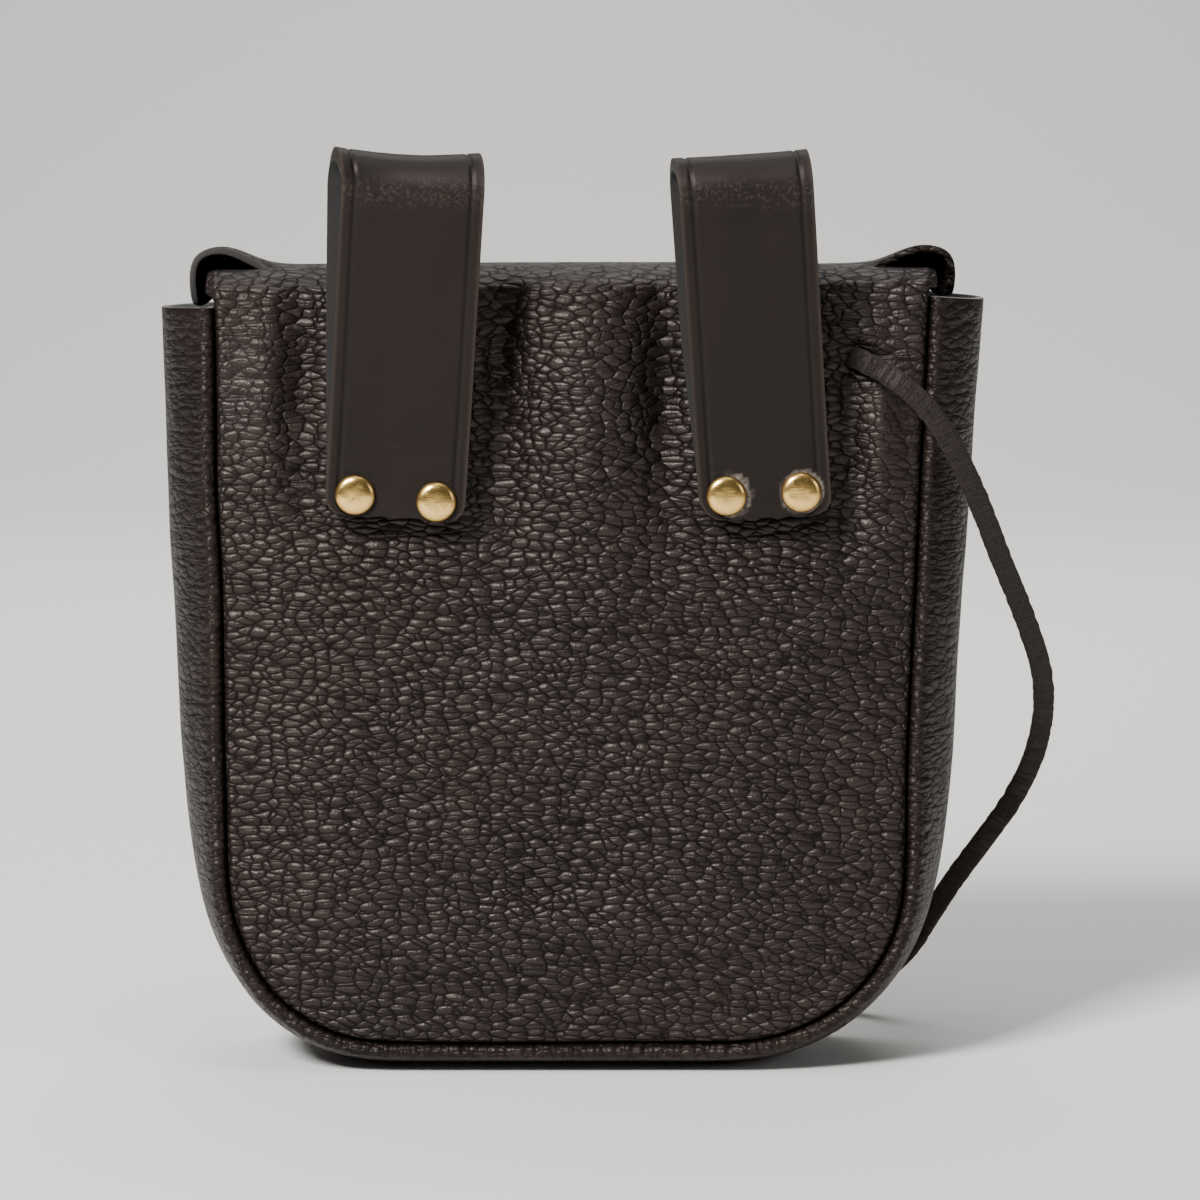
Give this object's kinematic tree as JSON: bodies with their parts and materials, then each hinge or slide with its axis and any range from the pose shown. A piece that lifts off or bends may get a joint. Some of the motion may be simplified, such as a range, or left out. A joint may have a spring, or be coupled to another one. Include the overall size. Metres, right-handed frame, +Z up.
{
  "type": "medieval leather belt pouch",
  "caption": "Turned leather belt pouch with a bowed gusset, a fold-over flap, riveted belt loops at the back and a loose leather lace.",
  "frame": {"origin": "on the floor under the middle of the standing pouch, measured without its loose lace", "axes": "+Z up, +Y from the belt side to the flap side, +X to the right as seen from the belt side"},
  "size_m": [0.2028, 0.091, 0.2051],
  "materials": {
    "bag_leather": "very dark brown pebble-grained leather, satin",
    "strap_leather": "smooth dark brown strap leather, satin, scuffed",
    "rivet_brass": "polished brass, tarnished at the rim",
    "lace_leather": "dark cracked leather thong with fuzzy edges"
  },
  "bodies": {
    "root": {"back_panel": "bag_leather", "front_panel": "bag_leather", "gusset": "bag_leather", "belt_loop_left": "strap_leather", "belt_loop_right": "strap_leather", "rivet_1": "rivet_brass", "rivet_2": "rivet_brass", "rivet_3": "rivet_brass", "rivet_4": "rivet_brass", "lace": "lace_leather", "lace_knot": "lace_leather"}
  },
  "joints": []
}
